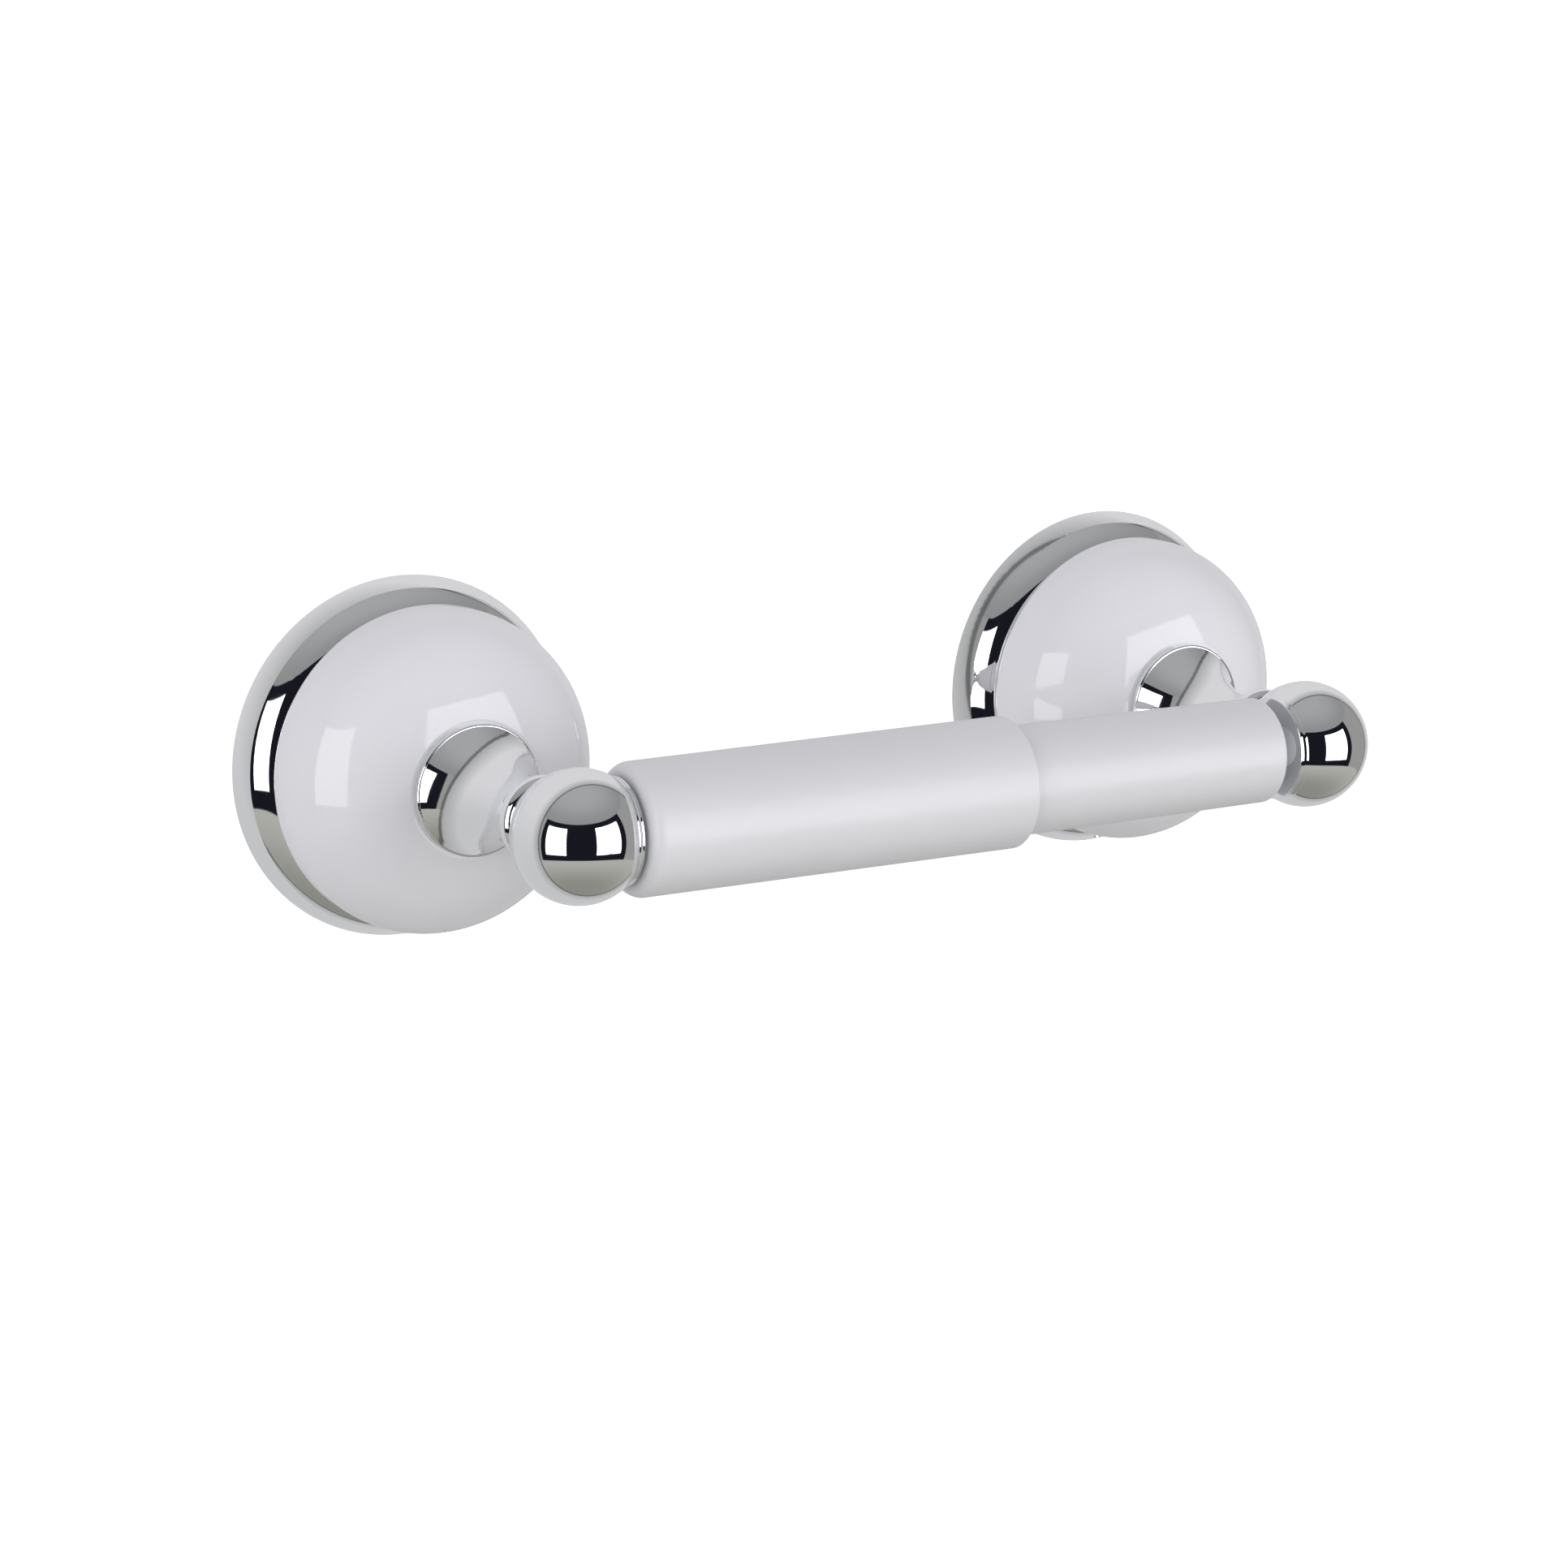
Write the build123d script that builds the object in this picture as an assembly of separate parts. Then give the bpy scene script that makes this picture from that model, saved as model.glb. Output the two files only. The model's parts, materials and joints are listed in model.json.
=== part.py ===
"""Two-post toilet paper holder: chrome and porcelain wall posts with a spring roller between them.

Millimetres. +Z is up and the wall is the plane Y = 0, with the holder standing out along -Y.
The origin is on the wall, midway between the posts, at the height of the post axes.
A turned part is drawn as (radius, depth), where depth is the distance out from the wall.
"""

from build123d import *

import os
from math import acos, asin, cos, degrees, radians, sin, sqrt

# Overall
POST_SPACING = 166.0
ROLLER_DEPTH = 76.0

# Fits and clearances
SHAFT_FIT = 0.05
SCREW_CLEARANCE = 0.3
MOVING_GAP = 0.3
SEAT_GAP = 0.4

# How far a cutting tool runs past the face that it cuts
CUT_PAST = 1.0

# Wall bracket, one behind each post
BRACKET_WIDTH = 22.0
BRACKET_HEIGHT = 50.0
BRACKET_THICKNESS = 2.5
BRACKET_CORNER = 6.0
WALL_SCREW_SPACING = 38.0
WALL_SCREW_HOLE_R = 2.3
COUNTERSINK_R = 4.2
COUNTERSINK_DEPTH = 1.6
DOVETAIL_WIDTH = 18.0
DOVETAIL_ROOT = 7.0
DOVETAIL_TIP = 9.0
DOVETAIL_HEIGHT = 3.0

# Flange shell: an outer bevel, then one convex step that turns in under the dome
FLANGE_R = 36.6
CREASE_R = 34.7
CREASE_DEPTH = 4.4
BEVEL_BULGE = 0.05
STEP_R = 10.0
STEP_START_TILT = 32.0
STEP_END_TILT = 68.0
FLANGE_WALL = 1.2

# Backing plate inside the flange
PLATE_R = 25.5
HUB_R = 8.8
HUB_LENGTH = 7.0
HOOK_ROOM = 2.5
SET_SCREW_R = 1.25
SET_SCREW_KEY = 1.3
SET_SCREW_KEY_DEPTH = 2.0
SET_SCREW_DEPTH = 4.4
SET_SCREW_INSET = 1.0
KEY_HOLE_R = 1.7

# Gasket and porcelain dome
GASKET_THICKNESS = 0.8
GASKET_OUTER_R = 29.6
GASKET_INNER_R = 27.3
DOME_R = 32.6
DOME_RIM_HEIGHT = 5.2
DOME_RIM_EDGE = 2.6
DOME_FRONT = 33.0
DOME_SEAT_R = 13.75
DOME_CROWN = 4.4
DOME_WALL = 4.4
DOME_HOLE_R = 3.4

# Trumpet post
POST_BASE_R = 13.1
POST_RIM = 1.65
POST_RIM_EDGE = 0.45
NECK_R = 5.7
NECK_TAIL = 4.0
POST_END_R = 7.0
POST_TAIL_BOW = 0.25

# Neck ring
RING_R = 8.5
RING_WIDTH = 4.4
RING_FILLET = 1.9

# Ball with its roller socket
BALL_R = 12.8
SPIGOT_R = 7.3
SPIGOT_LENGTH = 2.586
COLLAR_R = 10.4
COLLAR_LENGTH = 1.5
COLLAR_FILLET = 0.3
COLLAR_BLEND = 1.3
COLLAR_BLEND_RISE = 0.316
SOCKET_CHAMFER = 0.5

# Clamp screw, from the backing plate to the ball
SCREW_R = 2.5
SCREW_HEAD_R = 4.6
SCREW_HEAD_HEIGHT = 3.0
SCREW_HEAD_FILLET = 0.9
SCREW_RECESS = 3.6
SCREW_RECESS_WIDTH = 1.1
SCREW_RECESS_DEPTH = 1.6
SCREW_TIP_SPACE = 0.4
SCREW_ENGAGE = 5.0
WASHER_THICKNESS = 1.1
WASHER_R = 4.4
WASHER_SLIT = 0.8

# Spring roller
PIN_R = 4.0
PIN_TIP_OFFSET = 2.75
PIN_CHAMFER = 0.6
OUTER_CAP_GAP = 0.85
INNER_CAP_GAP = 3.4
OUTER_TUBE_R = 12.8
OUTER_TUBE_DRAFT = 0.2
OUTER_TUBE_WALL = 1.0
OUTER_TUBE_END = 10.3
OUTER_TUBE_EDGE = 0.3
LIP_WIDTH = 2.2
CAP_RIM = 2.9
CAP_FILLET = 2.5
CAP_SPIGOT = 3.3
CAP_SPIGOT_WALL = 1.5
TUBE_STEP = 0.8
INNER_TUBE_DRAFT = 0.4
INNER_TUBE_WALL = 1.3
INNER_TUBE_OVERLAP = 47.0
INNER_TUBE_EDGE = 0.8
BEAD_RISE = 0.4
BEAD_WIDTH = 2.2
INNER_CAP_THICKNESS = 2.8
TUBE_GAP = 0.3

# Compression spring inside the roller
SPRING_WIRE_R = 0.6
SPRING_R = 6.0
SPRING_TURNS = 20
SPRING_BOSS_LENGTH = 3.0
SPRING_BOSS_GAP = 0.4

SIDES = {"left": -1, "right": 1}
FROM_BASE = (Align.CENTER, Align.CENTER, Align.MIN)

# Depths along a post, each from the piece behind it
PLATE_BACK = BRACKET_THICKNESS + SEAT_GAP
STEP_CENTRE_R = CREASE_R - STEP_R * cos(radians(STEP_START_TILT))
STEP_CENTRE_DEPTH = CREASE_DEPTH - STEP_R * sin(radians(STEP_START_TILT))
FLANGE_FACE = STEP_CENTRE_DEPTH + STEP_R * sin(radians(STEP_END_TILT))
PLATE_FRONT = FLANGE_FACE - FLANGE_WALL
POCKET_FLOOR = BRACKET_THICKNESS + DOVETAIL_HEIGHT + SCREW_CLEARANCE
HEAD_BACK = POCKET_FLOOR + SEAT_GAP
WASHER_BACK = HEAD_BACK + SCREW_HEAD_HEIGHT
COUNTERBORE_FLOOR = WASHER_BACK + WASHER_THICKNESS
HUB_END = PLATE_FRONT + HUB_LENGTH
DOME_BACK = FLANGE_FACE + GASKET_THICKNESS
BALL_BACK = ROLLER_DEPTH - sqrt(BALL_R**2 - SPIGOT_R**2)
RING_FRONT = BALL_BACK - SPIGOT_LENGTH
RING_BACK = RING_FRONT - RING_WIDTH
POST_END = RING_BACK
NECK_DEPTH = POST_END - NECK_TAIL
SCREW_TIP = RING_FRONT + SCREW_ENGAGE
SCREW_BORE_R = SCREW_R + SCREW_CLEARANCE

# Places along the roller, each measured from the posts
LEFT_BALL = -POST_SPACING / 2
RIGHT_BALL = POST_SPACING / 2
COLLAR_BLEND_R = COLLAR_R + COLLAR_BLEND_RISE
COLLAR_BLEND_START = sqrt(BALL_R**2 - COLLAR_BLEND_R**2)
COLLAR_REACH = COLLAR_BLEND_START + COLLAR_LENGTH
OUTER_CAP_OFFSET = COLLAR_REACH + OUTER_CAP_GAP
INNER_CAP_OFFSET = COLLAR_REACH + INNER_CAP_GAP
OUTER_CAP_FACE = LEFT_BALL + OUTER_CAP_OFFSET
INNER_CAP_FACE = RIGHT_BALL - INNER_CAP_OFFSET
OUTER_TUBE_START = OUTER_CAP_FACE + CAP_RIM
INNER_TUBE_START = OUTER_TUBE_END - INNER_TUBE_OVERLAP
INNER_CAP_BACK = INNER_CAP_FACE - INNER_CAP_THICKNESS
OUTER_BORE_R = OUTER_TUBE_R - OUTER_TUBE_WALL
INNER_TUBE_R = OUTER_BORE_R - TUBE_STEP
INNER_BORE_R = INNER_TUBE_R - INNER_TUBE_DRAFT - INNER_TUBE_WALL
SOCKET_FLOOR = PIN_TIP_OFFSET - MOVING_GAP
BOSS_R = SPRING_R - SPRING_WIRE_R - SPRING_BOSS_GAP

# Sketch planes: (radius, depth) for the posts and (x, radius) for the roller
TURNED = Plane(origin=(0, 0, 0), x_dir=(1, 0, 0), z_dir=(0, 0, -1))
ROLLER = Plane(origin=(0, -ROLLER_DEPTH, 0), x_dir=(1, 0, 0), z_dir=(0, -1, 0))
ROLLER_AXIS = Axis((0, -ROLLER_DEPTH, 0), (1, 0, 0))


def save(node, shape):
    """Write one sub-part as a STEP file."""
    export_step(shape, f"parts/{node}.step")


def turn(*edges):
    """Turn a closed (radius, depth) outline about the post axis."""
    return revolve(TURNED * make_face(Wire(edges)), Axis.Y)


def turn_roller(*edges):
    """Turn a closed (x, radius) outline about the roller axis."""
    return revolve(ROLLER * make_face(Wire(edges)), ROLLER_AXIS)


def outline(*points):
    """Straight edges through the given points, in order."""
    return [Line(a, b) for a, b in zip(points, points[1:])]


def rod(radius, back, front):
    """A plain cylinder on the post axis between two depths."""
    place = Plane(origin=(0, -back, 0), z_dir=(0, -1, 0))
    return extrude(place * Circle(radius), front - back)


def roller_rod(radius, start, end):
    """A plain cylinder on the roller axis between two x positions."""
    place = Plane(origin=(start, -ROLLER_DEPTH, 0), z_dir=(1, 0, 0))
    return extrude(place * Circle(radius), end - start)


def dovetail(root, tip, back, front, width):
    """A block whose height grows from root to tip between two depths."""
    side = Plane(origin=(-width / 2, 0, 0), x_dir=(0, -1, 0), z_dir=(1, 0, 0))
    section = Polygon((back, -root), (front, -tip), (front, tip), (back, root), align=None)
    return extrude(side * section, width)


def wall_bracket():
    """Cast plate screwed to the wall, with the dovetail that the post hangs on."""
    front = Plane(origin=(0, 0, 0), x_dir=(1, 0, 0), z_dir=(0, -1, 0))
    face = RectangleRounded(BRACKET_WIDTH, BRACKET_HEIGHT, BRACKET_CORNER)
    body = extrude(front * face, BRACKET_THICKNESS)
    top = BRACKET_THICKNESS + DOVETAIL_HEIGHT
    body += dovetail(DOVETAIL_ROOT, DOVETAIL_TIP, BRACKET_THICKNESS, top, DOVETAIL_WIDTH)
    for end in (-1, 1):
        hole = Pos(0, 0, end * WALL_SCREW_SPACING / 2)
        body -= hole * rod(WALL_SCREW_HOLE_R, -CUT_PAST, BRACKET_THICKNESS + CUT_PAST)
        sink = outline(
            (0, BRACKET_THICKNESS - COUNTERSINK_DEPTH),
            (WALL_SCREW_HOLE_R, BRACKET_THICKNESS - COUNTERSINK_DEPTH),
            (COUNTERSINK_R, BRACKET_THICKNESS),
            (0, BRACKET_THICKNESS),
            (0, BRACKET_THICKNESS - COUNTERSINK_DEPTH),
        )
        body -= hole * turn(*sink)
    return body


def set_screw_axis(radius, low, high):
    """A vertical cylinder on the set screw's axis, between two heights."""
    return Pos(0, -SET_SCREW_DEPTH, low) * extrude(Circle(radius), high - low)


def backing_plate():
    """Cast plate inside the flange: hooks over the dovetail and holds the clamp screw."""
    body = rod(PLATE_R, PLATE_BACK, PLATE_FRONT) + rod(HUB_R, PLATE_FRONT, HUB_END)
    gap = SCREW_CLEARANCE
    width = DOVETAIL_WIDTH + 2 * gap
    lean = (DOVETAIL_TIP - DOVETAIL_ROOT) / DOVETAIL_HEIGHT
    tip = DOVETAIL_TIP + gap + lean * gap
    pocket = dovetail(tip - lean * (POCKET_FLOOR - PLATE_BACK), tip, PLATE_BACK, POCKET_FLOOR, width)
    low = DOVETAIL_TIP + HOOK_ROOM
    room = Pos(0, -(PLATE_BACK + POCKET_FLOOR) / 2, -low / 2) * Box(width, POCKET_FLOOR - PLATE_BACK, low)
    body -= pocket + room
    body -= rod(SCREW_HEAD_R + SCREW_CLEARANCE, POCKET_FLOOR - CUT_PAST, COUNTERBORE_FLOOR)
    body -= rod(SCREW_BORE_R, COUNTERBORE_FLOOR - CUT_PAST, HUB_END + CUT_PAST)
    body -= set_screw_axis(SET_SCREW_R + SHAFT_FIT, -PLATE_R - CUT_PAST, -low + CUT_PAST)
    return body


def set_screw():
    """Headless screw that runs up against the dovetail and locks the post."""
    top = -(DOVETAIL_TIP + SHAFT_FIT)
    low = -(PLATE_R - SET_SCREW_INSET)
    key = Pos(0, -SET_SCREW_DEPTH, low) * extrude(RegularPolygon(SET_SCREW_KEY / 2, 6), SET_SCREW_KEY_DEPTH)
    return set_screw_axis(SET_SCREW_R, low, top) - key


def on_step(radius, tilt):
    """A point on an arc about the step's centre, by its tilt towards the room in degrees."""
    turned = radians(tilt)
    return (STEP_CENTRE_R + radius * cos(turned), STEP_CENTRE_DEPTH + radius * sin(turned))


def step_arc(radius, start_tilt, end_tilt):
    """An arc about the step's centre between two tilts."""
    middle = on_step(radius, (start_tilt + end_tilt) / 2)
    return ThreePointArc(on_step(radius, start_tilt), middle, on_step(radius, end_tilt))


def flange():
    """Pressed shell that covers the bracket and carries the dome."""
    inner_step_r = STEP_R - FLANGE_WALL
    inner_end_tilt = degrees(asin((PLATE_FRONT - STEP_CENTRE_DEPTH) / inner_step_r))
    hub_hole = HUB_R + SCREW_CLEARANCE
    shell = turn(
        SagittaArc((FLANGE_R, 0), (CREASE_R, CREASE_DEPTH), -BEVEL_BULGE),
        step_arc(STEP_R, STEP_START_TILT, STEP_END_TILT),
        *outline(
            on_step(STEP_R, STEP_END_TILT),
            (hub_hole, FLANGE_FACE),
            (hub_hole, PLATE_FRONT),
            on_step(inner_step_r, inner_end_tilt),
        ),
        step_arc(inner_step_r, inner_end_tilt, STEP_START_TILT),
        *outline(on_step(inner_step_r, STEP_START_TILT), (FLANGE_R - FLANGE_WALL, 0), (FLANGE_R, 0)),
    )
    return shell - set_screw_axis(KEY_HOLE_R, -FLANGE_R - CUT_PAST, -PLATE_R)


def gasket():
    """Flat rubber ring between the flange and the dome."""
    return rod(GASKET_OUTER_R, FLANGE_FACE, DOME_BACK) - rod(GASKET_INNER_R, FLANGE_FACE, DOME_BACK)


def dome_curve(rim_r, crown, start, top_r, top):
    """Part of an ellipse from the rim to the flat top, about a centre at radius crown."""
    sweep = acos((top_r - crown) / (rim_r - crown))
    height = (top - start) / sin(sweep)
    return EllipticalCenterArc((crown, start), rim_r - crown, height, 0, arc_size=degrees(sweep))


def porcelain_dome():
    """Hollow bell of glazed porcelain, open at the back, with a flat seat for the post."""
    rim_top = DOME_BACK + DOME_RIM_HEIGHT
    outer = dome_curve(DOME_R, DOME_CROWN, rim_top, DOME_SEAT_R, DOME_FRONT)
    inner = dome_curve(DOME_R - DOME_WALL, DOME_CROWN, DOME_BACK, DOME_SEAT_R, DOME_FRONT - DOME_WALL)
    edge = DOME_RIM_EDGE
    return turn(
        outer,
        *outline(
            (DOME_SEAT_R, DOME_FRONT),
            (DOME_HOLE_R, DOME_FRONT),
            (DOME_HOLE_R, DOME_FRONT - DOME_WALL),
            (DOME_SEAT_R, DOME_FRONT - DOME_WALL),
        ),
        inner,
        Line((DOME_R - DOME_WALL, DOME_BACK), (DOME_R - edge, DOME_BACK)),
        RadiusArc((DOME_R - edge, DOME_BACK), (DOME_R, DOME_BACK + edge), -edge),
        Line((DOME_R, DOME_BACK + edge), (DOME_R, rim_top)),
    )


def post():
    """Trumpet-shaped chrome post: a thin rim on the porcelain, narrowing to a waist."""
    rim_top = DOME_FRONT + POST_RIM
    shelf_r = POST_BASE_R - POST_RIM_EDGE
    flare_width = shelf_r - NECK_R
    flare_length = NECK_DEPTH - rim_top
    flare_r = (flare_width**2 + flare_length**2) / (2 * flare_width)
    halfway = asin(flare_length / flare_r) / 2
    flare = ThreePointArc(
        (shelf_r, rim_top),
        (NECK_R + flare_r * (1 - cos(halfway)), NECK_DEPTH - flare_r * sin(halfway)),
        (NECK_R, NECK_DEPTH),
    )
    tail = ThreePointArc(
        (NECK_R, NECK_DEPTH),
        (NECK_R + (POST_END_R - NECK_R) * POST_TAIL_BOW, (NECK_DEPTH + POST_END) / 2),
        (POST_END_R, POST_END),
    )
    return turn(
        *outline(
            (SCREW_BORE_R, POST_END),
            (SCREW_BORE_R, DOME_FRONT),
            (POST_BASE_R, DOME_FRONT),
            (POST_BASE_R, rim_top - POST_RIM_EDGE),
        ),
        RadiusArc((POST_BASE_R, rim_top - POST_RIM_EDGE), (shelf_r, rim_top), -POST_RIM_EDGE),
        flare,
        tail,
        Line((POST_END_R, POST_END), (SCREW_BORE_R, POST_END)),
    )


def neck_ring():
    """Rounded ring between the post and the ball."""
    body = rod(RING_R, RING_BACK, RING_FRONT)
    rims = body.edges().filter_by(GeomType.CIRCLE)
    return fillet(rims, RING_FILLET) - rod(SCREW_BORE_R, RING_BACK - CUT_PAST, RING_FRONT + CUT_PAST)


def ball_socket():
    """Ball on the end of the left post, with the blind socket that takes a roller pin."""
    front = ROLLER_DEPTH + BALL_R
    away_from_collar = Rot(0, 180, 0)
    ball = away_from_collar * turn(
        ThreePointArc((SPIGOT_R, BALL_BACK), (BALL_R, ROLLER_DEPTH), (0, front)),
        *outline((0, front), (0, RING_FRONT), (SPIGOT_R, RING_FRONT), (SPIGOT_R, BALL_BACK)),
    )
    blend_end = COLLAR_REACH - 2 * COLLAR_FILLET
    flat = COLLAR_REACH - COLLAR_FILLET
    collar = turn_roller(
        *outline((0, 0), (0, COLLAR_BLEND_R), (COLLAR_BLEND_START, COLLAR_BLEND_R)),
        RadiusArc((COLLAR_BLEND_START, COLLAR_BLEND_R), (blend_end, COLLAR_R), COLLAR_BLEND),
        Line((blend_end, COLLAR_R), (flat, COLLAR_R)),
        RadiusArc((flat, COLLAR_R), (COLLAR_REACH, COLLAR_R - COLLAR_FILLET), COLLAR_FILLET),
        *outline((COLLAR_REACH, COLLAR_R - COLLAR_FILLET), (COLLAR_REACH, 0), (0, 0)),
    )
    body = ball - roller_rod(BALL_R + CUT_PAST, COLLAR_BLEND_START, BALL_R + CUT_PAST) + collar
    socket_r = PIN_R + MOVING_GAP
    mouth = COLLAR_REACH - SOCKET_CHAMFER
    body -= turn_roller(
        *outline(
            (SOCKET_FLOOR, 0),
            (SOCKET_FLOOR, socket_r),
            (mouth, socket_r),
            (COLLAR_REACH + SOCKET_CHAMFER, socket_r + 2 * SOCKET_CHAMFER),
            (COLLAR_REACH + SOCKET_CHAMFER, 0),
            (SOCKET_FLOOR, 0),
        )
    )
    return body - rod(SCREW_R + SHAFT_FIT, RING_FRONT - CUT_PAST, SCREW_TIP + SCREW_TIP_SPACE)


def clamp_screw():
    """Long pan-head screw that pulls the ball, ring, post, dome and flange together."""
    head = rod(SCREW_HEAD_R, HEAD_BACK, WASHER_BACK)
    head = fillet(head.edges().filter_by(GeomType.CIRCLE).group_by(Axis.Y)[-1], SCREW_HEAD_FILLET)
    body = head + rod(SCREW_R, WASHER_BACK, SCREW_TIP)
    for turned in (0, 90):
        slot = Box(2 * SCREW_RECESS, 2 * SCREW_RECESS_DEPTH, SCREW_RECESS_WIDTH)
        body -= Pos(0, -HEAD_BACK, 0) * Rot(0, turned, 0) * slot
    return body


def lock_washer():
    """Split spring washer under the clamp screw's head."""
    ring = rod(WASHER_R, WASHER_BACK, COUNTERBORE_FLOOR) - rod(SCREW_BORE_R, WASHER_BACK, COUNTERBORE_FLOOR)
    slit = Box(WASHER_SLIT, 2 * COUNTERBORE_FLOOR, 2 * WASHER_R, align=FROM_BASE)
    return ring - Pos(0, -COUNTERBORE_FLOOR, 0) * slit


def pin(face, tip):
    """Pivot pin with a chamfered tip, standing out from an end cap's face."""
    chamfer_start = tip - PIN_CHAMFER if tip > face else tip + PIN_CHAMFER
    tip_r = PIN_R - PIN_CHAMFER
    return turn_roller(
        *outline((face, 0), (face, PIN_R), (chamfer_start, PIN_R), (tip, tip_r), (tip, 0), (face, 0))
    )


def outer_tube():
    """Larger tube of the roller, with a lip at its open end that keeps the inner tube in."""
    open_r = OUTER_TUBE_R + OUTER_TUBE_DRAFT
    lip_r = INNER_TUBE_R + TUBE_GAP / 2
    lip_start = OUTER_TUBE_END - LIP_WIDTH
    edge = OUTER_TUBE_EDGE
    return turn_roller(
        *outline(
            (OUTER_TUBE_START, OUTER_BORE_R),
            (OUTER_TUBE_START, OUTER_TUBE_R),
            (OUTER_TUBE_END - edge, open_r),
            (OUTER_TUBE_END, open_r - edge),
            (OUTER_TUBE_END, lip_r),
            (lip_start, lip_r),
            (lip_start - (OUTER_BORE_R - lip_r), OUTER_BORE_R),
            (OUTER_TUBE_START, OUTER_BORE_R),
        )
    )


def outer_end_cap():
    """Rounded plug in the outer tube's closed end, with a pin and a boss for the spring."""
    face, rim = OUTER_CAP_FACE, OUTER_TUBE_START
    spigot_r = OUTER_BORE_R - SHAFT_FIT
    cup_r = spigot_r - CAP_SPIGOT_WALL
    body = turn_roller(
        *outline(
            (face + CAP_FILLET, OUTER_TUBE_R),
            (rim, OUTER_TUBE_R),
            (rim, spigot_r),
            (rim + CAP_SPIGOT, spigot_r),
            (rim + CAP_SPIGOT, cup_r),
            (rim, cup_r),
            (rim, BOSS_R),
            (rim + SPRING_BOSS_LENGTH, BOSS_R),
            (rim + SPRING_BOSS_LENGTH, 0),
            (face, 0),
            (face, OUTER_TUBE_R - CAP_FILLET),
        ),
        RadiusArc((face, OUTER_TUBE_R - CAP_FILLET), (face + CAP_FILLET, OUTER_TUBE_R), CAP_FILLET),
    )
    return body + pin(face, LEFT_BALL + PIN_TIP_OFFSET)


def inner_tube():
    """Smaller tube that slides in the outer one, with a bead behind the outer tube's lip."""
    end_r = INNER_TUBE_R - INNER_TUBE_DRAFT
    bead_r = INNER_TUBE_R + BEAD_RISE
    bead_end = INNER_TUBE_START + BEAD_WIDTH
    edge = INNER_TUBE_EDGE
    return turn_roller(
        *outline(
            (INNER_TUBE_START, INNER_BORE_R),
            (INNER_TUBE_START, bead_r),
            (bead_end - BEAD_RISE, bead_r),
            (bead_end, INNER_TUBE_R),
            (INNER_CAP_FACE - edge, end_r),
        ),
        RadiusArc((INNER_CAP_FACE - edge, end_r), (INNER_CAP_FACE, end_r - edge), edge),
        *outline(
            (INNER_CAP_FACE, end_r - edge),
            (INNER_CAP_FACE, INNER_BORE_R),
            (INNER_TUBE_START, INNER_BORE_R),
        ),
    )


def inner_end_cap():
    """Flush plug in the inner tube's outer end, with a pin and a boss for the spring."""
    body = roller_rod(INNER_BORE_R - SHAFT_FIT, INNER_CAP_BACK, INNER_CAP_FACE)
    body += roller_rod(BOSS_R, INNER_CAP_BACK - SPRING_BOSS_LENGTH, INNER_CAP_BACK)
    return body + pin(INNER_CAP_FACE, RIGHT_BALL - PIN_TIP_OFFSET)


def spring():
    """Open-wound compression spring between the two end caps."""
    start = OUTER_TUBE_START + SPRING_WIRE_R + SHAFT_FIT
    length = INNER_CAP_BACK - SPRING_WIRE_R - SHAFT_FIT - start
    path = Helix(pitch=length / SPRING_TURNS, height=length, radius=SPRING_R)
    wire = Plane(origin=path @ 0, z_dir=path % 0) * Circle(SPRING_WIRE_R)
    place = Plane(origin=(start, -ROLLER_DEPTH, 0), z_dir=(1, 0, 0))
    return place.location * sweep(wire, path=path, is_frenet=True)


POST_PARTS = {
    "wall_bracket": wall_bracket,
    "backing_plate": backing_plate,
    "set_screw": set_screw,
    "flange": flange,
    "gasket": gasket,
    "porcelain_dome": porcelain_dome,
    "post": post,
    "neck_ring": neck_ring,
    "clamp_screw": clamp_screw,
    "lock_washer": lock_washer,
}

ROLLER_PARTS = {
    "outer_tube": outer_tube,
    "outer_end_cap": outer_end_cap,
    "inner_tube": inner_tube,
    "inner_end_cap": inner_end_cap,
    "spring": spring,
}

os.makedirs("parts", exist_ok=True)
for name, make in POST_PARTS.items():
    shape = make()
    for side, sign in SIDES.items():
        save(f"{name}_{side}", Pos(sign * POST_SPACING / 2, 0, 0) * shape)
ball = ball_socket()
save("ball_socket_left", Pos(LEFT_BALL, 0, 0) * ball)
save("ball_socket_right", Pos(RIGHT_BALL, 0, 0) * mirror(ball, about=Plane.YZ))
for name, make in ROLLER_PARTS.items():
    save(name, make())
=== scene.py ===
"""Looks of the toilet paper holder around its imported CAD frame: materials, spring, studio and camera."""

import json
from math import cos, radians, sin, tau

import bpy
from mathutils import Matrix, Vector


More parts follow.
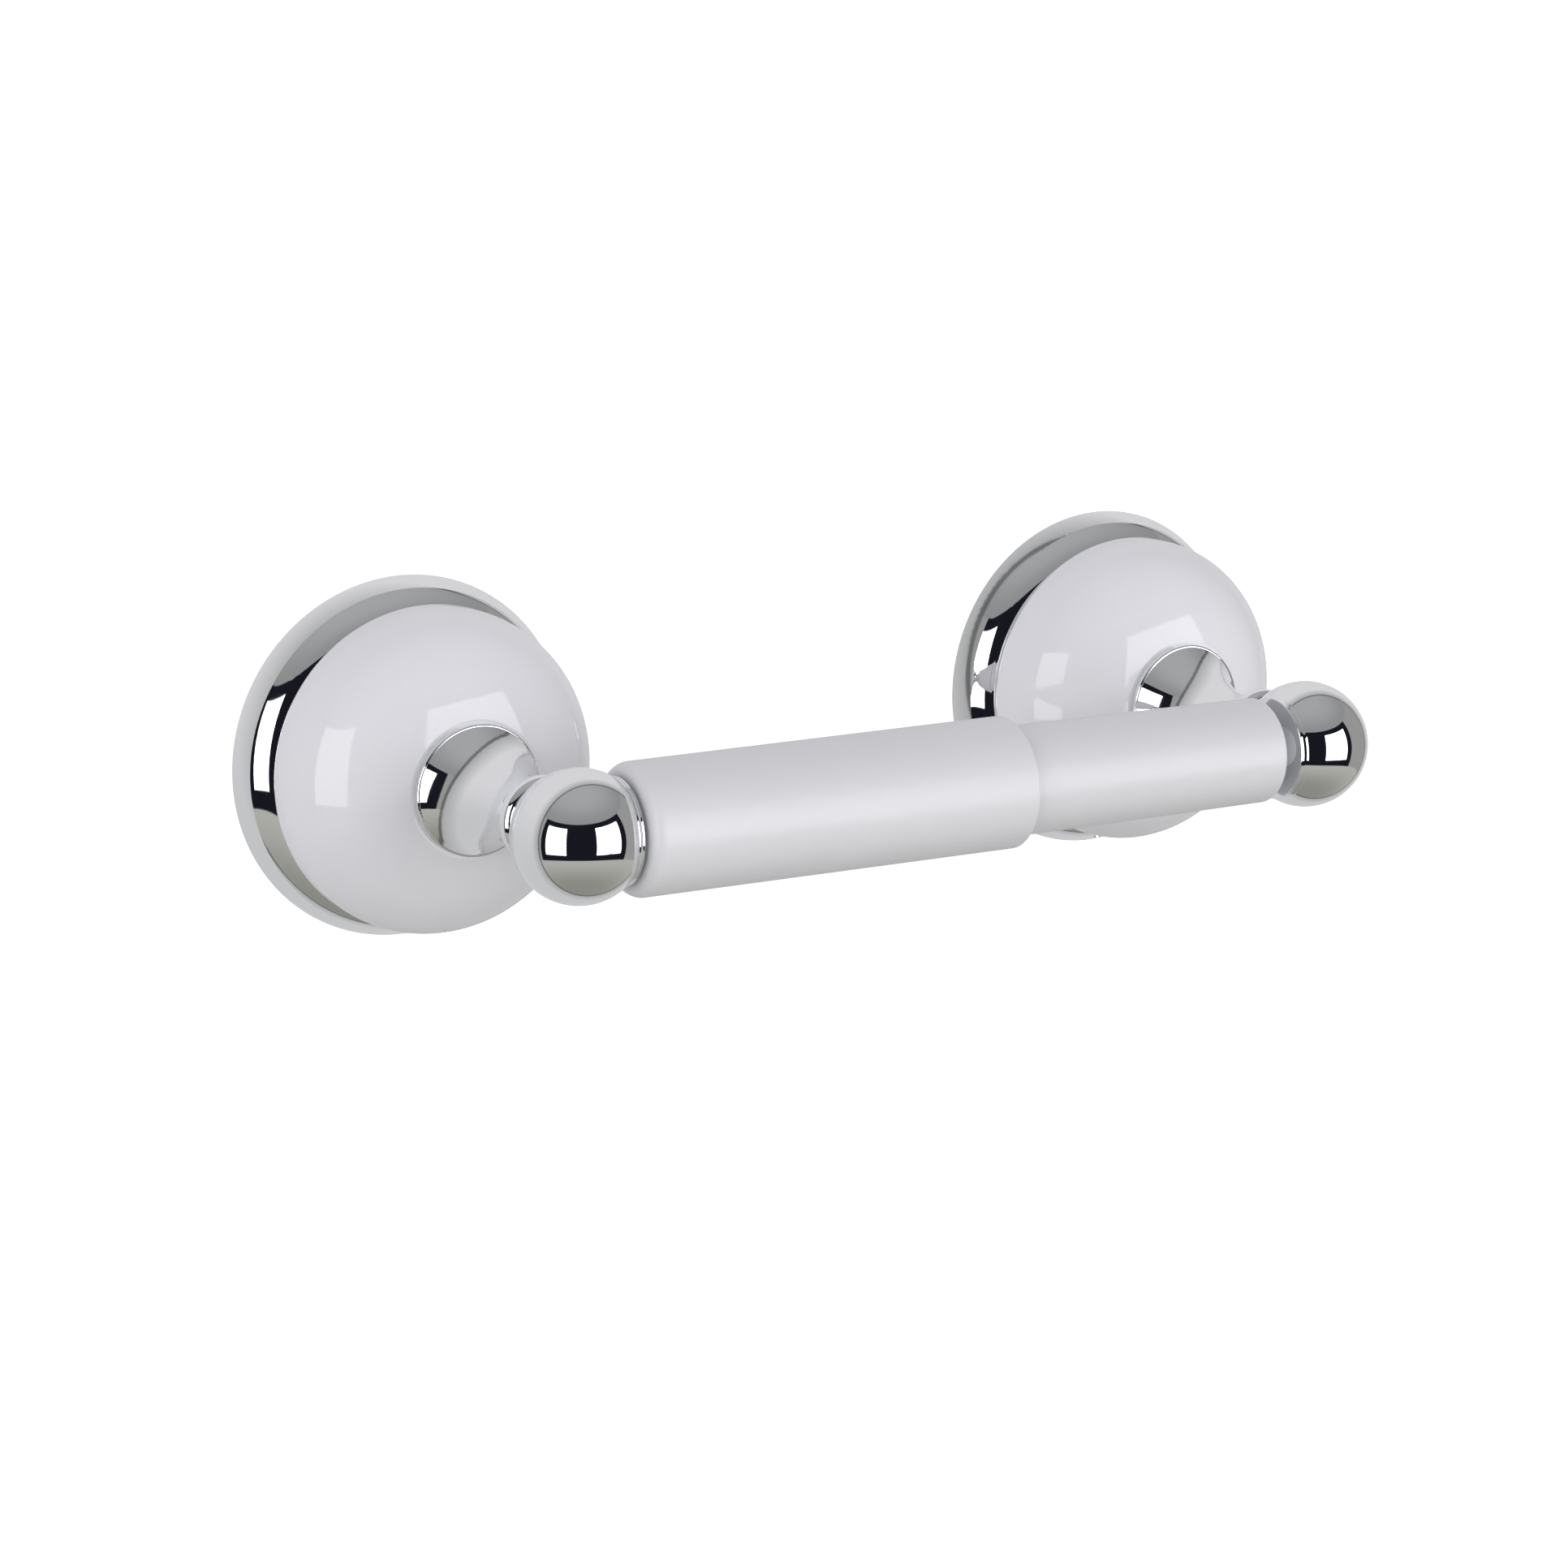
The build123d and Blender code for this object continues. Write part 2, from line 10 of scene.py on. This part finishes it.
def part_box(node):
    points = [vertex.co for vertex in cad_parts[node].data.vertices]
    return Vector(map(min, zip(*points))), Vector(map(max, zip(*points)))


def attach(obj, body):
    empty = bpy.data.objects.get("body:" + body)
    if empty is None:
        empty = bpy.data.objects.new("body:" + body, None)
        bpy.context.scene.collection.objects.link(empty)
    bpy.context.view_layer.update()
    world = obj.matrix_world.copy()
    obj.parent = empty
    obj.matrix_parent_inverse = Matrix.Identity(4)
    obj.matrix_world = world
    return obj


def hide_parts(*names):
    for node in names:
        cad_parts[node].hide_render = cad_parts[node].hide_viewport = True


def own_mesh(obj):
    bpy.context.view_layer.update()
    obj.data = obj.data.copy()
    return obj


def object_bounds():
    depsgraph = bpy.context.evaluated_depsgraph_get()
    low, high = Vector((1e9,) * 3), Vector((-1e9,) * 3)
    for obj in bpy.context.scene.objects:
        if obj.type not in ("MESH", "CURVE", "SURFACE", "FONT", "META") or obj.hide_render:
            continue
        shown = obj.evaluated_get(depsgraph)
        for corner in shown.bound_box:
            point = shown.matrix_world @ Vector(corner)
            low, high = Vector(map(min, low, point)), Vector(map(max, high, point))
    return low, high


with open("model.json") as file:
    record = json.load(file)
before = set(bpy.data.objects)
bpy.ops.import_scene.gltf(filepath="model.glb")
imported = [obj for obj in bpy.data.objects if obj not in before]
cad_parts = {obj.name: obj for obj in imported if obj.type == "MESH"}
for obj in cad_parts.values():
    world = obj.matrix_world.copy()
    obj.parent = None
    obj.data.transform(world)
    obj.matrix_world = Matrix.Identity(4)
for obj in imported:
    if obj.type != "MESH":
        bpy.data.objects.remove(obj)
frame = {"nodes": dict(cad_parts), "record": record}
cad_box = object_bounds()

# Camera: viewing angles in degrees, distance and aim in metres from the row origin
CAMERA_AZIMUTH = 30.22
CAMERA_ELEVATION = 13.14
CAMERA_ROLL = 0.46
CAMERA_DISTANCE = 0.830
CAMERA_LENS = 96.0
SENSOR = 36.0
AIM = Vector((-0.0193, -0.0415, -0.0042))

# Studio, seen in the chrome: a light backdrop, a grey ceiling, a dark room with two windows, a table
BACKDROP_FROM = 0.205
BACKDROP_TURN = -0.064
BACKDROP_LEAN = -0.035
BACKDROP_EVEN = 0.42
CEILING_FROM = 33.0
TABLE_BELOW = -27.0
DARK_LEFT = 92.0
DARK_RIGHT = -58.0
WINDOWS = ((48.0, 83.0), (-47.0, -3.0))
WINDOW_BOTTOM = -18.0
WINDOW_TOP = 25.0
EDGE_SOFTNESS = 0.02
OUTLINE_WIDTH = 0.045
OUTLINE_STRENGTH = 0.65
FLOOR_DROP = 0.30
FLOOR_SIZE = 30.0
FLOOR_GLOW = 0.6

# Soft lamps, all aimed at the origin: name, place in metres, size in metres, power in watts
LAMPS = (
    ("soft_key", (-0.9, -1.1, 1.2), 1.2, 3.6),
    ("soft_fill", (1.1, -0.9, 0.6), 1.5, 2.0),
    ("soft_under", (-0.2, -0.9, -0.9), 1.5, 2.2),
)

# Spring: wire radius in metres
WIRE_RADIUS = 0.0006
SPRING_TURNS = 20
SPRING_SEGMENTS = 40
WIRE_SEGMENTS = 12
CLOSED_TURNS = 1.5


class Nodes:
    """Short calls that add shader nodes to one tree."""

    def __init__(self, tree):
        self.tree = tree
        tree.nodes.clear()

    def add(self, kind, inputs=(), **settings):
        node = self.tree.nodes.new(kind)
        for name, value in settings.items():
            setattr(node, name, value)
        for key, value in dict(inputs).items():
            if isinstance(value, bpy.types.NodeSocket):
                self.tree.links.new(value, node.inputs[key])
            else:
                node.inputs[key].default_value = value
        return node

    def math(self, operation, a, b=0.0):
        return self.add("ShaderNodeMath", {0: a, 1: b}, operation=operation).outputs[0]

    def above(self, value, edge, softness):
        """0 below the edge and 1 above it, with a soft step."""
        inputs = {0: value, 1: edge - softness / 2, 2: edge + softness / 2}
        return self.add("ShaderNodeMapRange", inputs, interpolation_type="SMOOTHSTEP").outputs[0]

    def between(self, value, low, high, softness):
        return self.math("MULTIPLY", self.above(value, low, softness),
                         self.math("SUBTRACT", 1.0, self.above(value, high, softness)))

    def mix(self, factor, a, b):
        node = self.add("ShaderNodeMix", data_type="RGBA")
        for index, value in ((0, factor), (6, a), (7, b)):
            if isinstance(value, bpy.types.NodeSocket):
                self.tree.links.new(value, node.inputs[index])
            else:
                node.inputs[index].default_value = value
        return node.outputs[2]


def rgba(red, green, blue):
    return (red, green, blue, 1.0)


def studio_world():
    """A procedural studio by direction: what the chrome mirrors and what lights the porcelain."""
    world = bpy.data.worlds.new("studio")
    bpy.context.scene.world = world
    world.use_nodes = True
    n = Nodes(world.node_tree)
    direction = n.add("ShaderNodeTexCoord").outputs["Generated"]
    split = n.add("ShaderNodeSeparateXYZ", {0: direction})
    x, y, z = split.outputs
    elevation = n.math("ARCSINE", z)
    azimuth = n.math("ARCTAN2", n.math("MULTIPLY", x, -1.0), n.math("MULTIPLY", y, -1.0))

    ceiling = n.mix(n.above(z, 0.80, 0.5), rgba(0.30, 0.30, 0.30), rgba(0.42, 0.42, 0.43))
    table = n.mix(n.above(z, -0.75, 0.6), rgba(0.28, 0.28, 0.25), rgba(0.47, 0.47, 0.43))
    side_wall = rgba(0.34, 0.34, 0.33)
    dark = rgba(0.010, 0.010, 0.016)
    window = rgba(3.2, 3.2, 3.25)

    in_azimuth = n.between(azimuth, radians(DARK_RIGHT), radians(DARK_LEFT), EDGE_SOFTNESS)
    room = n.mix(in_azimuth, side_wall, dark)
    height = n.between(elevation, radians(WINDOW_BOTTOM), radians(WINDOW_TOP), EDGE_SOFTNESS)
    for low, high in WINDOWS:
        across = n.between(azimuth, radians(low), radians(high), EDGE_SOFTNESS)
        room = n.mix(n.math("MULTIPLY", across, height), room, window)
    colour = n.mix(n.above(elevation, radians(CEILING_FROM), EDGE_SOFTNESS), room, ceiling)
    colour = n.mix(n.above(elevation, radians(TABLE_BELOW), EDGE_SOFTNESS), table, colour)
    # A thin dark edge runs round the backdrop
    slant = n.math("ADD", n.math("MULTIPLY", x, BACKDROP_TURN), n.math("MULTIPLY", z, BACKDROP_LEAN))
    facing = n.math("ADD", y, slant)
    outline = n.between(facing, BACKDROP_FROM - OUTLINE_WIDTH, BACKDROP_FROM, EDGE_SOFTNESS)
    colour = n.mix(n.math("MULTIPLY", outline, OUTLINE_STRENGTH), colour, rgba(0.06, 0.06, 0.06))
    backdrop = n.mix(n.above(z, 0.0, 1.6), rgba(0.62, 0.62, 0.63), rgba(0.76, 0.75, 0.77))
    even = n.add("ShaderNodeMapRange", {0: facing, 1: BACKDROP_FROM, 2: BACKDROP_EVEN}).outputs[0]
    backdrop = n.mix(even, rgba(0.44, 0.44, 0.44), backdrop)
    colour = n.mix(n.above(facing, BACKDROP_FROM, 0.03), colour, backdrop)
    background = n.add("ShaderNodeBackground", {"Color": colour, "Strength": 1.0})
    n.add("ShaderNodeOutputWorld", {"Surface": background.outputs[0]})


def principled(name, colour, **sockets):
    """A material with a Principled shader; returns the material, its node helper and the shader."""
    material = bpy.data.materials.new(name)
    material.use_nodes = True
    n = Nodes(material.node_tree)
    shader = n.add("ShaderNodeBsdfPrincipled")
    shader.inputs["Base Color"].default_value = rgba(*colour)
    for key, value in sockets.items():
        shader.inputs[key.replace("_", " ")].default_value = value
    n.add("ShaderNodeOutputMaterial", {"Surface": shader.outputs[0]})
    return material, n, shader


def noise(n, scale, detail=3.0, stretch=(1.0, 1.0, 1.0)):
    place = n.add("ShaderNodeTexCoord").outputs["Object"]
    mapped = n.add("ShaderNodeMapping", {"Vector": place, "Scale": stretch}).outputs[0]
    return n.add("ShaderNodeTexNoise", {"Vector": mapped, "Scale": scale, "Detail": detail}).outputs["Fac"]


def relief(n, shader, height, depth):
    bump = n.add("ShaderNodeBump", {"Height": height, "Distance": depth, "Strength": 1.0})
    n.tree.links.new(bump.outputs[0], shader.inputs["Normal"])
    n.tree.links.new(bump.outputs[0], shader.inputs["Coat Normal"])


def vary(n, shader, socket, factor, low, high):
    spread = n.add("ShaderNodeMapRange", {0: factor, 1: 0.3, 2: 0.7, 3: low, 4: high})
    n.tree.links.new(spread.outputs[0], shader.inputs[socket])


def tint(n, shader, factor, first, second):
    n.tree.links.new(n.mix(factor, rgba(*first), rgba(*second)), shader.inputs["Base Color"])


def chrome():
    """Bright nickel chrome: faint buffing waviness and a trace of haze."""
    material, n, shader = principled("chrome_plate", (0.86, 0.87, 0.88), Metallic=1.0)
    vary(n, shader, "Roughness", noise(n, 260.0), 0.015, 0.05)
    relief(n, shader, noise(n, 120.0, 1.0), 0.000004)
    return material


def porcelain():
    """White vitreous china under a clear glaze: slow waves of the glaze and a cool cast."""
    material, n, shader = principled(
        "glazed_porcelain", (0.86, 0.86, 0.90),
        Roughness=0.5, Specular_IOR_Level=0.25, Coat_Weight=0.8, Coat_Roughness=0.012, Coat_IOR=1.5,
    )
    tint(n, shader, noise(n, 55.0), (0.855, 0.85, 0.90), (0.885, 0.88, 0.92))
    relief(n, shader, noise(n, 95.0, 2.0), 0.00002)
    return material


def roller_plastic():
    """White moulded plastic: a fine satin texture and faint draw lines along the tube."""
    material, n, shader = principled(
        "roller_plastic", (0.80, 0.80, 0.83), Coat_Weight=0.12, Coat_Roughness=0.25
    )
    tint(n, shader, noise(n, 40.0), (0.775, 0.775, 0.81), (0.815, 0.815, 0.84))
    vary(n, shader, "Roughness", noise(n, 700.0), 0.34, 0.48)
    fine = noise(n, 1500.0, 2.0)
    drawn = noise(n, 500.0, 2.0, (0.04, 1.0, 1.0))
    relief(n, shader, n.math("ADD", n.math("MULTIPLY", fine, 0.5), drawn), 0.000012)
    return material


def worked_metal(name, light, dark, rough, scale, depth, stretch=(1.0, 1.0, 1.0)):
    """A plain metal with grain, patches of tarnish and uneven shine."""
    material, n, shader = principled(name, light, Metallic=1.0)
    tint(n, shader, noise(n, scale / 4), dark, light)
    vary(n, shader, "Roughness", noise(n, scale), rough, rough + 0.18)
    relief(n, shader, noise(n, scale, 4.0, stretch), depth)
    return material


def rubber():
    """Matt black gasket rubber with a fine grain."""
    material, n, shader = principled("gasket_rubber", (0.03, 0.03, 0.03))
    tint(n, shader, noise(n, 300.0), (0.022, 0.022, 0.022), (0.045, 0.044, 0.042))
    vary(n, shader, "Roughness", noise(n, 800.0), 0.65, 0.85)
    relief(n, shader, noise(n, 1500.0), 0.00001)
    return material


def dress_nodes():
    """Each CAD node takes the material of the slot that its record names."""
    chrome_plate = chrome()
    made = {
        "flange_chrome": chrome_plate,
        "post_chrome": chrome_plate,
        "ring_chrome": chrome_plate,
        "ball_chrome": chrome_plate,
        "porcelain": porcelain(),
        "roller_plastic": roller_plastic(),
        "gasket_rubber": rubber(),
        "bracket_zinc": worked_metal(
            "zinc_plate", (0.62, 0.63, 0.60), (0.50, 0.51, 0.47), 0.28, 300.0, 0.00002
        ),
        "plate_zinc": worked_metal(
            "cast_zinc", (0.52, 0.52, 0.51), (0.40, 0.40, 0.40), 0.42, 900.0, 0.00005
        ),
        "screw_steel": worked_metal(
            "screw_zinc", (0.66, 0.65, 0.58), (0.52, 0.52, 0.48), 0.25, 500.0, 0.00001
        ),
        "washer_steel": worked_metal(
            "washer_zinc", (0.58, 0.58, 0.56), (0.44, 0.44, 0.43), 0.3, 600.0, 0.00001
        ),
        "spring_steel": worked_metal(
            "spring_wire", (0.50, 0.50, 0.50), (0.36, 0.36, 0.36), 0.22, 700.0, 0.00001, (0.2, 1.0, 1.0)
        ),
    }
    for part in frame["record"]["subparts"]:
        node = frame["nodes"][part["node"]]
        node.data.materials.clear()
        node.data.materials.append(made[part["material_slot"]])
    return made


def spring_mesh(low, high):
    """A drawn-wire helix with closed end turns that fills the space between two corners."""
    centre = (low + high) / 2
    outer = (high.z - low.z) / 2
    coil = outer - WIRE_RADIUS
    length = high.x - low.x - 2 * WIRE_RADIUS
    turns = SPRING_TURNS + 2 * CLOSED_TURNS
    steps = int(turns * SPRING_SEGMENTS)
    closed = 2 * WIRE_RADIUS * CLOSED_TURNS

    def along(turn):
        if turn < CLOSED_TURNS:
            return closed * turn / CLOSED_TURNS
        if turn > turns - CLOSED_TURNS:
            return length - closed * (turns - turn) / CLOSED_TURNS
        return closed + (length - 2 * closed) * (turn - CLOSED_TURNS) / SPRING_TURNS

    vertices = []
    for step in range(steps + 1):
        turn = turns * step / steps
        angle = tau * turn
        outward = Vector((0.0, cos(angle), sin(angle)))
        middle = Vector((low.x + WIRE_RADIUS + along(turn), centre.y, centre.z)) + outward * coil
        for side in range(WIRE_SEGMENTS):
            part = tau * side / WIRE_SEGMENTS
            sideways = Vector((WIRE_RADIUS * sin(part), 0.0, 0.0))
            vertices.append(middle + outward * WIRE_RADIUS * cos(part) + sideways)
    faces = []
    for step in range(steps):
        for side in range(WIRE_SEGMENTS):
            after = (side + 1) % WIRE_SEGMENTS
            a, b = step * WIRE_SEGMENTS, (step + 1) * WIRE_SEGMENTS
            faces.append((a + side, b + side, b + after, a + after))
    last = steps * WIRE_SEGMENTS
    faces.append(tuple(range(WIRE_SEGMENTS)))
    faces.append(tuple(last + side for side in reversed(range(WIRE_SEGMENTS))))
    mesh = bpy.data.meshes.new("spring_coil")
    mesh.from_pydata(vertices, [], faces)
    mesh.polygons.foreach_set("use_smooth", [True] * len(faces))
    return mesh


def coil_spring(material):
    """A drawn-wire coil that stands in for the CAD spring and moves with the outer roller tube."""
    low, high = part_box("spring")
    piece = bpy.data.objects.new("spring_coil", spring_mesh(low, high))
    bpy.context.scene.collection.objects.link(piece)
    piece.data.materials.append(material)
    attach(piece, "roller_outer")
    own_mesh(piece)
    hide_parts("spring")


def floor():
    """Plain pale floor below the object; the chrome mirrors the studio's table instead of it."""
    mesh = bpy.data.meshes.new("studio_floor")
    level = cad_box[0].z - FLOOR_DROP
    signs = ((-1, -1), (1, -1), (1, 1), (-1, 1))
    corners = [(x * FLOOR_SIZE, y * FLOOR_SIZE, level) for x, y in signs]
    mesh.from_pydata(corners, [], [(0, 1, 2, 3)])
    plane = bpy.data.objects.new("studio_floor", mesh)
    bpy.context.scene.collection.objects.link(plane)
    material, _, shader = principled("pale_floor", (0.9, 0.9, 0.9), Roughness=0.8)
    shader.inputs["Emission Color"].default_value = rgba(1.0, 1.0, 1.0)
    shader.inputs["Emission Strength"].default_value = FLOOR_GLOW
    mesh.materials.append(material)
    plane.visible_glossy = False
    plane.visible_diffuse = False


def light(name, place, size, watts):
    """A square lamp that the chrome does not mirror."""
    data = bpy.data.lights.new(name, "AREA")
    data.size = size
    data.energy = watts
    lamp = bpy.data.objects.new(name, data)
    bpy.context.scene.collection.objects.link(lamp)
    lamp.location = place
    lamp.rotation_euler = (-Vector(place)).to_track_quat("-Z", "Y").to_euler()
    lamp.visible_glossy = False


def camera():
    """Looks from the left, a little above, with a slight roll."""
    a, e, roll = radians(CAMERA_AZIMUTH), radians(CAMERA_ELEVATION), radians(CAMERA_ROLL)
    forward = Vector((sin(a) * cos(e), cos(a) * cos(e), -sin(e)))
    right = Vector((cos(a), -sin(a), 0.0))
    up = right.cross(forward)
    right, up = right * cos(roll) + up * sin(roll), up * cos(roll) - right * sin(roll)
    data = bpy.data.cameras.new("camera")
    data.lens = CAMERA_LENS
    data.sensor_width = SENSOR
    data.clip_start = 0.01
    view = bpy.data.objects.new("camera", data)
    bpy.context.scene.collection.objects.link(view)
    turn = Matrix((right, up, -forward)).transposed().to_4x4()
    view.matrix_world = Matrix.Translation(AIM - forward * CAMERA_DISTANCE) @ turn
    bpy.context.scene.camera = view


materials = dress_nodes()
coil_spring(materials["spring_steel"])
studio_world()
for lamp in LAMPS:
    light(*lamp)
floor()
camera()
bpy.context.scene.view_settings.view_transform = "Standard"
